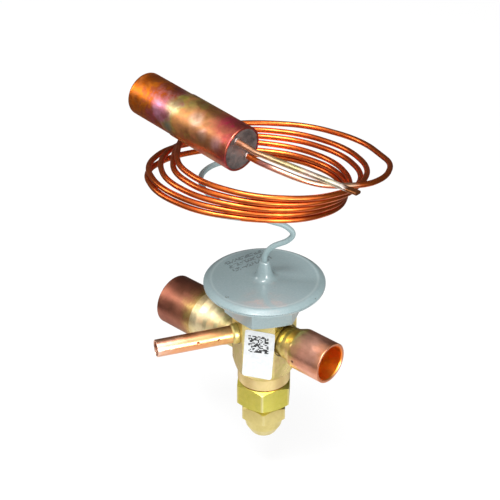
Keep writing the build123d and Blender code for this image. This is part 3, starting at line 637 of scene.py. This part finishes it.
body_brass, tree, shader, place = new_material("body_brass", Metallic=1.0, Roughness=0.34)
lines = use(tree, grain, "Lines", Place=place, Stretch=(3.2, 3.2, 0.11))
cloudy, speck = clouded(tree, place, 7.0, 8.0)
height = along(tree, place, ORIGIN, UP)
rings = use(tree, turned, "Rings", Along=height, Pitch=0.42)
foot = spread(tree, height, -20.9, -20.3, 1.0, 0.0)
neck = spread(tree, height, 11.0, 11.4)
machined = maths(tree, "MAXIMUM", foot, neck)
colour = glaze(tree, BRASS, cloudy, 0.55, OLIVE_BRASS)
colour = glaze(tree, colour, spread(tree, speck, 0.4, 1.0), 0.35, PINK_BRASS)
colour = glaze(tree, colour, spread(tree, lines, 0.45, 0.75), 0.18, DRAWN_LINE)
print("body brass:", len(tree.nodes), "nodes so far")

# %% [markdown]
# The torch has left a brown halo round each port. A thin dark line is painted
# in the groove at the joint itself: painted shade, where the groove lies in
# shadow. Both come from the distance to the port's axis, so they stay round
# whatever the face, and a test of side keeps them off the far flats.

# %% Stains round the ports
OUTLET_Z = -9.1
EQUALIZER_WAY = (-0.5, -0.866, 0.0)
PORTS = (
    (ORIGIN, (1, 0, 0), 7.6),
    ((0, 0, OUTLET_Z), (-1, 0, 0), 7.6),
    ((0, 0, 0.8), EQUALIZER_WAY, 4.7),
)
PORT_SIDE = 8.0
JOINT_GAP = 0.1
TORCH_BROWN = (0.40, 0.24, 0.10)
GROOVE_PAINTED_SHADE = (0.06, 0.045, 0.02)


def round_ports(tree, place, gap, profile):
    """The greatest of a profile of the distance to each port's edge, grown by a gap."""
    rings = []
    for point, axis, radius in PORTS:
        edge = maths(tree, "SUBTRACT", off_axis(tree, place, point, axis), radius + gap)
        ahead = maths(tree, "GREATER_THAN", along(tree, place, ORIGIN, axis), PORT_SIDE)
        rings.append(times(tree, profile(edge), ahead))
    return largest(tree, rings)


halo = round_ports(tree, place, 0.0, lambda edge: spread(tree, edge, 0.2, 5.5, 1.0, 0.0))
# Painted shade: a thin dark line in the groove at each joint, where shadow falls.
joint = round_ports(
    tree, place, JOINT_GAP,
    lambda edge: spread(tree, maths(tree, "ABSOLUTE", edge), 0.15, 0.35, 1.0, 0.0))
burnt = times(tree, halo, maths(tree, "MULTIPLY_ADD", speck, 0.3, 0.08))
colour = blend(tree, burnt, colour, TORCH_BROWN)
colour = glaze(tree, colour, joint, 0.9, GROOVE_PAINTED_SHADE)
print("ports:", len(PORTS))

# %% Finish of the body
colour = blend(tree, machined, colour, glaze(tree, TURNED_BRASS, cloudy, 0.3, OLIVE_BRASS))
roughness = maths(tree, "MULTIPLY_ADD", cloudy, 0.16, 0.26)
roughness = maths(tree, "MULTIPLY_ADD", machined, 0.14, roughness)
drawn_relief = times(tree, lines, maths(tree, "SUBTRACT", 1.0, machined))
turned_relief = times(tree, rings, times(tree, machined, 0.5))
dress(tree, shader, colour, roughness, maths(tree, "ADD", drawn_relief, turned_relief), 0.006)
wear(body_brass, "valve_body")

# %% [markdown]
# ## Nut, cap and the turned brass inside
#
# The nut is brighter and more yellow-green than the body, for it never met the
# torch. The cap is a duller, tan brass with a fine matter skin. Threads are
# plain cylinders in the frame, so their ridges are bump rings at the pitch of
# the thread. The corners of a hexagon are painted paler: rubbed wear, and a
# painted highlight where a rounded edge would catch the light.

# %% Turned brass
PALE_SPECK = (0.90, 0.82, 0.40)
CORNER_WEAR_AND_HIGHLIGHT_BRASS = (1.0, 0.94, 0.55)
RING_SHARE = 0.025
THREAD_SHARE = 14.0


def corners(tree, place, flats, first):
    """Mask of a hexagon's corners, from its width over flats and one corner's bearing."""
    bearings = [math.radians(first + 60 * k) for k in range(3)]
    ways = [(math.cos(bearing), math.sin(bearing), 0) for bearing in bearings]
    reach = largest(
        tree, [maths(tree, "ABSOLUTE", along(tree, place, ORIGIN, way)) for way in ways])
    corner = flats / math.sqrt(3)
    return spread(tree, reach, corner - 0.55, corner - 0.15)


def turned_brass(name, bright, dull, pitch, roughness, thread=None, hexagon=None):
    """Brass with rings along Z; thread is (low, high, lead), hexagon (flats, first, shine)."""
    material, tree, shader, place = new_material(name, Metallic=1.0, Roughness=roughness)
    # The length of the name moves the clouds, so that they differ from piece to piece.
    cloudy, speck = clouded(tree, place, 6.0, len(name))
    height = along(tree, place, ORIGIN, UP)
    colour = glaze(tree, bright, cloudy, 0.45, dull)
    colour = glaze(tree, colour, speck, 0.08, PALE_SPECK)
    if hexagon:
        flats, first, corner_wear_and_highlight = hexagon
        # Painted highlight and wear: the hexagon's corners are lightened, as rubbed brass and as
        # rounded edges catching the light.
        colour = glaze(tree, colour, corners(tree, place, flats, first), corner_wear_and_highlight, CORNER_WEAR_AND_HIGHLIGHT_BRASS)
    relief = times(tree, use(tree, turned, "Rings", Along=height, Pitch=pitch), RING_SHARE)
    if thread:
        low, high, lead = thread
        ridge = maths(tree, "PINGPONG", maths(tree, "DIVIDE", height, lead), 0.5)
        ridge = times(tree, ridge, within(tree, height, low, high))
        relief = maths(tree, "ADD", relief, times(tree, ridge, THREAD_SHARE))
    rough = maths(tree, "MULTIPLY_ADD", cloudy, 0.10, roughness - 0.05)
    dress(tree, shader, colour, rough, relief, 0.035)
    return material


# %% Nut, cap and inner brass
wear(turned_brass("nut_brass", (0.74, 0.69, 0.14), (0.52, 0.50, 0.07), pitch=0.55, roughness=0.36,
                  thread=(-46.5, -38.9, 1.25), hexagon=(24.3, 8.0, 0.5)), "bottom_nut")
wear(turned_brass("cap_brass", (0.72, 0.60, 0.24), (0.54, 0.44, 0.15), pitch=0.5, roughness=0.36,
                  hexagon=(20.2, 11.0, 0.18)), "seal_cap")
wear(turned_brass("inner_brass", (0.74, 0.60, 0.20), (0.52, 0.44, 0.13), pitch=0.3, roughness=0.30,
                  thread=(-33.0, -24.0, 0.8)),
     "adjusting_stem", "packing_follower", "pin_carrier", "spring_seat")
wear(turned_brass("ferrule_brass", (0.78, 0.64, 0.24), (0.58, 0.48, 0.15), pitch=0.5,
                  roughness=0.48), "equalizer_ferrule")

# %% [markdown]
# ## Steel, gaskets and packing
#
# Ground steel has short fine lines, and the strainer is a gauze of crossed wires.
# The gaskets are copper and the packing is a pressed grey fibre with visible
# flecks. Two sine waves that cross make the gauze, with no need for real wires.

# %% Steel and gauze
WIRE_RATE = 9.0

steel, tree, shader, place = new_material("bright_steel", Metallic=1.0, Roughness=0.28)
lines = use(tree, grain, "Lines", Place=place, Stretch=(5.0, 5.0, 0.6))
speck = use(tree, clouds, "Fine", Place=place, Size=5.0)
colour = blend(tree, speck, (0.56, 0.56, 0.57), (0.44, 0.44, 0.46))
dress(tree, shader, colour, maths(tree, "MULTIPLY_ADD", lines, 0.2, 0.18), lines, 0.006)
wear(steel, "valve_seat", "diaphragm", "buffer_plate", "push_rods", "valve_pin", "superheat_spring")

gauze, tree, shader, place = new_material("strainer_gauze", Metallic=1.0, Roughness=0.35)
wires, turns = (
    maths(tree, "SINE", times(tree, along(tree, place, ORIGIN, way), WIRE_RATE))
    for way in ((1, 0, 0), (0, 0.7, 0.7)))
woven = times(tree, wires, turns)
colour = blend(tree, spread(tree, woven, -0.6, 0.6), (0.20, 0.19, 0.17), (0.66, 0.60, 0.50))
dress(tree, shader, colour, None, woven, 0.08)
wear(gauze, "inlet_strainer")

# %% Gaskets and packing
gasket, tree, shader, place = new_material("gasket_copper", Metallic=1.0, Roughness=0.44)
cloudy, speck = clouded(tree, place, 4.0, 2.0)
colour = blend(tree, cloudy, (0.50, 0.19, 0.10), (0.20, 0.085, 0.05))
dress(tree, shader, colour, maths(tree, "MULTIPLY_ADD", cloudy, 0.15, 0.36), speck, 0.03)
wear(gasket, "head_gasket", "nut_gasket", "cap_washer")

packing, tree, shader, place = new_material("packing_fibre", Roughness=0.75)
speck = use(tree, clouds, "Fine", Place=place, Size=1.6)
colour = blend(tree, speck, (0.11, 0.11, 0.105), (0.24, 0.23, 0.21))
dress(tree, shader, colour, None, speck, 0.06)
wear(packing, "packing_ring")

# %% [markdown]
# ## Tube ends
#
# Each copper socket was heated at its joint end. Clean copper is salmon pink;
# with heat it goes straw, purple, then dark brown. A colour ramp along the
# tube's own axis gives the order, and clouds bend its edges so that no band is
# even. The brass reducer and neck were heated in the same way, so they share it.

# %% Heated metal
SCRATCH_BROWN = (0.22, 0.08, 0.045)
MOTTLE_BROWN = (0.46, 0.16, 0.08)
DENT_PAINTED_SHADE = (0.12, 0.035, 0.02)
PAINTED_GOLD_REFLECTION = (1.0, 0.50, 0.06)
PAINTED_RED_REFLECTION = (0.98, 0.24, 0.02)
DENT_DEPTH = -12.0


def bore_mask(tree, place, point, way, bore, depth):
    """1 inside a bore past some depth, 0 elsewhere."""
    inner = spread(tree, off_axis(tree, place, point, way), bore - 0.1, bore + 0.1, 1.0, 0.0)
    past = maths(tree, "GREATER_THAN", along(tree, place, point, way), depth)
    return times(tree, inner, past)


def heated_copper(name, start, axis, reach, stops, roughness, dents=(), patches=(), painted_glow=None,
                  drawn=(0.15, 2.4, 2.4), wander=0.16, mottle=0.18, scratch=0.15):
    """Metal whose tint follows the distance from its joint.

    The bore given last is (point, way, radius, depth); its inside is painted bright gold and red, a
    painted reflection of the copper mirroring itself.
    """
    material, tree, shader, place = new_material(name, Metallic=1.0, Roughness=roughness)
    cloudy, speck = clouded(tree, place, 9.0, len(name) * 1.7)
    bent = maths(tree, "DIVIDE", along(tree, place, start, axis), reach)
    for mask, bend in ((cloudy, wander), (speck, wander * 0.4)):
        bent = maths(tree, "MULTIPLY_ADD", maths(tree, "SUBTRACT", mask, 0.5), bend, bent)
    colour = ramp(tree, bent, stops)
    for centre, radius, tint, strength in patches:
        spot = use(tree, dent, "Hollow", Place=place, Centre=centre, Radius=radius)
        uneven = maths(tree, "MULTIPLY_ADD", cloudy, 0.7 * strength, 0.5 * strength)
        colour = blend(tree, times(tree, spot, uneven), colour, tint)
    lines = use(tree, grain, "Lines", Place=place, Stretch=drawn)
    colour = glaze(tree, colour, spread(tree, lines, 0.5, 0.8), scratch, SCRATCH_BROWN)
    colour = glaze(tree, colour, speck, mottle, MOTTLE_BROWN)
    relief = times(tree, lines, 0.25)
    for hollow in hollows(tree, place, dents):
        relief = maths(tree, "MULTIPLY_ADD", hollow, DENT_DEPTH, relief)
        # Painted shade: each dent is also darkened in colour, as if shadow lay in the hollow.
        colour = glaze(tree, colour, hollow, 0.95, DENT_PAINTED_SHADE)
    rough = maths(tree, "MULTIPLY_ADD", cloudy, 0.14, roughness - 0.06)
    # Painted reflection: inside the bore the colour is replaced by bright gold and red, as the
    # copper would look mirroring itself.
    if painted_glow:
        inner = bore_mask(tree, place, *painted_glow)
        colour = blend(tree, inner, colour, blend(tree, cloudy, PAINTED_GOLD_REFLECTION, PAINTED_RED_REFLECTION))
        rough = maths(tree, "MULTIPLY_ADD", inner, 0.03, rough)
    dress(tree, shader, colour, rough, relief, 0.02)
    return material


# %% Inlet
INLET_START = (16.5, 0, 0)
INLET_WAY = (1, 0, 0)
INLET_BORE = 8.3
BORE_FLOOR = 6.5

wear(heated_copper(
    "neck_brass", (10, 0, 0), INLET_WAY, 10.0,
    ((0.0, (0.72, 0.60, 0.18)), (0.5, (0.82, 0.70, 0.24)), (1.0, (0.80, 0.66, 0.20))),
    roughness=0.34), "inlet_neck")
wear(heated_copper(
    "inlet_copper", INLET_START, INLET_WAY, 22.7,
    ((0.0, (0.80, 0.66, 0.20)), (0.20, (0.86, 0.64, 0.22)), (0.30, (0.90, 0.48, 0.26)),
     (0.44, (0.90, 0.42, 0.29)), (0.75, (0.88, 0.44, 0.32)), (1.0, (0.84, 0.35, 0.18))),
    roughness=0.36, dents=(((24.96, -9.57, -0.70), 1.1),),
    painted_glow=(INLET_START, INLET_WAY, INLET_BORE, BORE_FLOOR)), "inlet_socket")

# %% Outlet
OUTLET_WAY = (-1, 0, 0)

wear(heated_copper(
    "outlet_brass", (-10, 0, OUTLET_Z), OUTLET_WAY, 30.4,
    ((0.0, (0.60, 0.48, 0.12)), (0.3, (0.94, 0.82, 0.42)), (0.7, (1.0, 0.88, 0.56)),
     (1.0, (0.72, 0.56, 0.22))),
    roughness=0.44, drawn=(1.6, 0.2, 0.2)), "outlet_reducer")
wear(heated_copper(
    "outlet_copper", (-36.8, 0, OUTLET_Z), OUTLET_WAY, 21.2,
    ((0.0, (0.62, 0.42, 0.14)), (0.14, (0.46, 0.24, 0.10)), (0.35, (0.38, 0.15, 0.09)),
     (0.8, (0.35, 0.12, 0.08)), (1.0, (0.42, 0.16, 0.10))),
    roughness=0.42, drawn=(2.6, 0.35, 0.35), scratch=0.5), "outlet_socket")

# %% Equalizer
wear(heated_copper(
    "equalizer_copper", (0, 0, 0.8), EQUALIZER_WAY, 51.4,
    ((0.2, (0.80, 0.58, 0.22)), (0.34, (0.82, 0.46, 0.18)), (0.55, (0.86, 0.38, 0.16)),
     (0.82, (0.90, 0.44, 0.24)), (1.0, (0.96, 0.66, 0.52))),
    roughness=0.36, dents=(((-12.94, -30.04, 2.17), 0.8), ((-8.03, -21.78, 1.76), 0.6)),
    drawn=(0.3, 0.3, 1.2)), "equalizer_tube")

# %% [markdown]
# ## Bulb and filling tube
#
# The bulb was brazed twice, at the lap joint between its two halves and at the
# end plate, so its heat colours run through the whole list: orange at the closed
# end, a magenta band, yellow-green at the joint, tan, then crimson. A ramp alone
# would give even bands, so a few soft patches break them up.

# %% Bulb
BULB_END = (5.4, -20.7, 103.5)
BULB_WAY = (0.99483, -0.05214, -0.08716)
BULB_RIGHT = (0.0523, 0.9986, 0.0)
BULB_UP = (0.0870, -0.0046, 0.9962)
BULB_LENGTH = 60.5
BULB_START = tuple(e - BULB_LENGTH * w for e, w in zip(BULB_END, BULB_WAY))
BULB_TINTS = (
    (0.0, (0.90, 0.20, 0.015)), (0.14, (0.92, 0.25, 0.02)), (0.25, (0.70, 0.13, 0.03)),
    (0.33, (0.74, 0.22, 0.20)), (0.40, (0.78, 0.46, 0.28)), (0.46, (0.78, 0.54, 0.16)),
    (0.56, (0.80, 0.36, 0.12)), (0.70, (0.78, 0.33, 0.14)), (0.80, (0.84, 0.28, 0.13)),
    (0.91, (0.66, 0.13, 0.09)), (1.0, (0.54, 0.10, 0.11)),
)
BULB_PATCHES = (
    ((-34.4, -27.4, 110.6), 7.0, (1.0, 0.42, 0.66), 1.25),
    ((-40.6, -28.0, 105.1), 6.0, (0.70, 0.12, 0.18), 0.8),
    ((-33.0, -17.0, 116.8), 5.0, (0.34, 0.12, 0.12), 0.9),
    ((-27.5, -21.4, 116.0), 4.0, (0.66, 0.70, 0.10), 0.9),
    ((-28.8, -25.6, 113.4), 5.2, (1.0, 0.96, 0.48), 1.35),
    ((-29.4, -28.7, 104.8), 4.0, (0.34, 0.44, 0.34), 1.0),
    ((-21.0, -22.0, 115.8), 5.5, (0.56, 0.48, 0.14), 0.7),
    ((-14.5, -26.6, 112.4), 5.0, (0.90, 0.74, 0.58), 0.6),
    ((-9.0, -28.6, 108.0), 4.0, (0.96, 0.66, 0.60), 0.7),
    ((-0.9, -29.3, 107.2), 4.5, (1.0, 0.60, 0.62), 0.8),
    ((0.5, -21.0, 113.2), 10.5, (0.62, 0.05, 0.11), 1.1),
)

wear(heated_copper(
    "bulb_copper", BULB_START, BULB_WAY, BULB_LENGTH, BULB_TINTS, roughness=0.38,
    patches=BULB_PATCHES, drawn=(0.25, 1.0, 1.0), wander=0.24, mottle=0.34),
    "bulb_cup", "bulb_shell")

# %% End plate
oxide, tree, shader, place = new_material("end_plate_oxide", Metallic=0.85, Roughness=0.5)
cloudy, speck = clouded(tree, place, 7.0, 4.0)
colour = blend(tree, cloudy, (0.25, 0.24, 0.235), (0.12, 0.11, 0.11))
colour = glaze(tree, colour, speck, 0.3, (0.33, 0.25, 0.22))
dress(tree, shader, colour, maths(tree, "MULTIPLY_ADD", speck, 0.15, 0.42), speck, 0.04)
wear(oxide, "bulb_end_plate")

# %% Filling tube
FILLING_TINTS = (
    (0.0, (0.80, 0.36, 0.20)), (0.2, (0.92, 0.50, 0.30)), (0.35, (0.92, 0.66, 0.36)),
    (0.5, (0.96, 0.80, 0.40)), (0.6, (0.98, 0.74, 0.62)), (0.74, (0.98, 0.92, 0.62)),
    (0.85, (0.96, 0.86, 0.80)), (0.872, (0.45, 0.16, 0.05)), (1.0, (0.36, 0.12, 0.04)),
)

wear(heated_copper(
    "filling_copper", (3.8, -26, 108), (1, 0, -0.05), 69.6, FILLING_TINTS,
    roughness=0.40, wander=0.03), "fill_tube")

# %% [markdown]
# ## Label
#
# A white plastic film, wrapped on a flat of the body. Its print is a square of
# random blocks, made here from white noise in cells: it holds no code.

# %% Label film
LABEL_SIDE = (0.866, 0.5, 0.0)
PRINT_SIZE = 9.3
PRINT_CELLS = 15
PRINT_FOOT_Z = -4.1
PRINT_INK = (0.012, 0.012, 0.014)

film, tree, shader, place = new_material(
    "label_film", Roughness=0.42, Coat_Weight=0.15, Coat_Roughness=0.2)
run = maths(tree, "ADD", along(tree, place, ORIGIN, LABEL_SIDE), PRINT_SIZE / 2)
rise = along(tree, place, (0, 0, PRINT_FOOT_Z), UP)
block = random_cells(tree, run, rise, PRINT_SIZE / PRINT_CELLS, seed=7.0, threshold=0.5)
for value in (run, rise):
    block = times(tree, block, within(tree, value, 0.0, PRINT_SIZE))
speck = use(tree, clouds, "Fine", Place=place, Size=5.0, Shift=9.0)
colour = blend(tree, speck, (0.53, 0.55, 0.56), (0.47, 0.49, 0.50))
colour = blend(tree, block, colour, PRINT_INK)
dress(tree, shader, colour, None, speck, 0.008)
wear(film, "label")
print("materials:", len(bpy.data.materials))

# %% [markdown]
# ## Brazing beads
#
# Every joint made with a torch keeps a thin uneven ring of alloy. It could be a
# torus, but a torus is too even; here a small round section is spun about the
# tube and each station is swollen or pinched by a few slow waves.

# %% Bead metal
braze, tree, shader, place = new_material("braze_alloy", Metallic=1.0, Roughness=0.50)
cloudy, speck = clouded(tree, place, 2.6, 6.0)
colour = blend(tree, cloudy, (0.40, 0.34, 0.32), (0.26, 0.17, 0.15))
colour = glaze(tree, colour, speck, 0.3, (0.30, 0.20, 0.17))
dress(tree, shader, colour, maths(tree, "MULTIPLY_ADD", speck, 0.16, 0.44), speck, 0.05)
print("materials:", len(bpy.data.materials))


# %% Bead shape
WAVES_ROUND = (2, 3, 5, 8, 13)
SWELL = 0.10
BEAD_STEPS = 120


def bead(name, centre, axis, radius, thick, seed):
    """An uneven ring of alloy round a tube, all sizes in millimetres."""
    chance = random.Random(seed)
    waves = [(k, chance.uniform(0, 2 * math.pi), chance.uniform(0.4, 1.0) / k**0.5)
             for k in WAVES_ROUND]
    turn = Vector(UP).rotation_difference(Vector(axis)).to_matrix().to_4x4()
    upright = Euler((math.pi / 2, 0, 0)).to_matrix().to_4x4()

    def shape(bm):
        bmesh.ops.create_circle(bm, segments=10, radius=thick * MM,
                                matrix=Matrix.Translation((radius * MM, 0, 0)) @ upright)
        bmesh.ops.spin(bm, geom=bm.verts[:] + bm.edges[:], cent=ORIGIN, axis=UP,
                       angle=2 * math.pi, steps=BEAD_STEPS, use_merge=True)
        for v in bm.verts:
            bearing = math.atan2(v.co.y, v.co.x)
            swell = 1 + SWELL * sum(a * math.sin(k * bearing + p) for k, p, a in waves)
            core = Vector((math.cos(bearing), math.sin(bearing), 0)) * radius * MM
            v.co = core + (v.co - core) * swell
        bmesh.ops.recalc_face_normals(bm, faces=bm.faces[:])
        for f in bm.faces:
            f.smooth = True
        place = Matrix.Translation(Vector(centre) * MM) @ turn
        bmesh.ops.transform(bm, verts=bm.verts[:], matrix=place)

    made = plain_mesh(name, shape)
    made.data.materials.append(braze)
    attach(made, "valve")
    print(name, len(made.data.polygons), "faces")


# %% Beads
def on_bulb(reach):
    """Point on the bulb's axis so many millimetres from its closed end."""
    return [b + reach * w for b, w in zip(BULB_START, BULB_WAY)]


def at_bulb_end(right, up):
    """Point at the bulb's end plate, by its offsets from the bulb's axis."""
    axes = zip(BULB_END, BULB_RIGHT, BULB_UP, BULB_WAY)
    return [e + right * a + up * b - 0.1 * w for e, a, b, w in axes]


bead("bead_bulb_end", on_bulb(59.6), BULB_WAY, radius=8.95, thick=0.30, seed=2)
bead("bead_capillary_root", at_bulb_end(3.9, -4.8), BULB_WAY, radius=1.4, thick=0.5, seed=3)
bead("bead_filling_root", at_bulb_end(-3.0, 4.7), BULB_WAY, radius=1.4, thick=0.5, seed=4)
bead("bead_outlet", (-36.85, 0, OUTLET_Z), OUTLET_WAY, radius=12.05, thick=0.12, seed=5)

# %% [markdown]
# ## Superheat spring
#
# The spring stands between two parts that both move: the pin's carrier presses it
# from above and the seat plate from below. One rigid coil would cut into its seat,
# so a merged copy is parted across one turn into an upper and a lower part, each
# with its cut end closed, and the frame's own spring is hidden.

# %% Spring parts
SPRING_SPLIT_Z = -17.5
MERGE_REACH = 0.002


def spring_part(name, upper):
    """A copy of the spring above or below the split, with its cut end closed."""
    def shape(bm):
        bm.from_mesh(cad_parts["superheat_spring"].data)
        bmesh.ops.remove_doubles(bm, verts=bm.verts[:], dist=MERGE_REACH * MM)
        bmesh.ops.bisect_plane(
            bm, geom=bm.verts[:] + bm.edges[:] + bm.faces[:],
            plane_co=(0, 0, SPRING_SPLIT_Z * MM), plane_no=UP,
            clear_outer=not upper, clear_inner=upper)
        bmesh.ops.holes_fill(bm, edges=[e for e in bm.edges if e.is_boundary])
        bmesh.ops.recalc_face_normals(bm, faces=bm.faces[:])
        for f in bm.faces:
            f.smooth = True

    made = plain_mesh(name, shape)
    made.data.materials.append(steel)
    return made


spring_upper = spring_part("spring_upper_turns", True)
spring_lower = spring_part("spring_lower_turns", False)
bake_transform(spring_upper)
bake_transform(spring_lower)
for part in (spring_upper, spring_lower):
    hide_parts("superheat_spring")
    print(part.name, len(part.data.polygons), "faces")
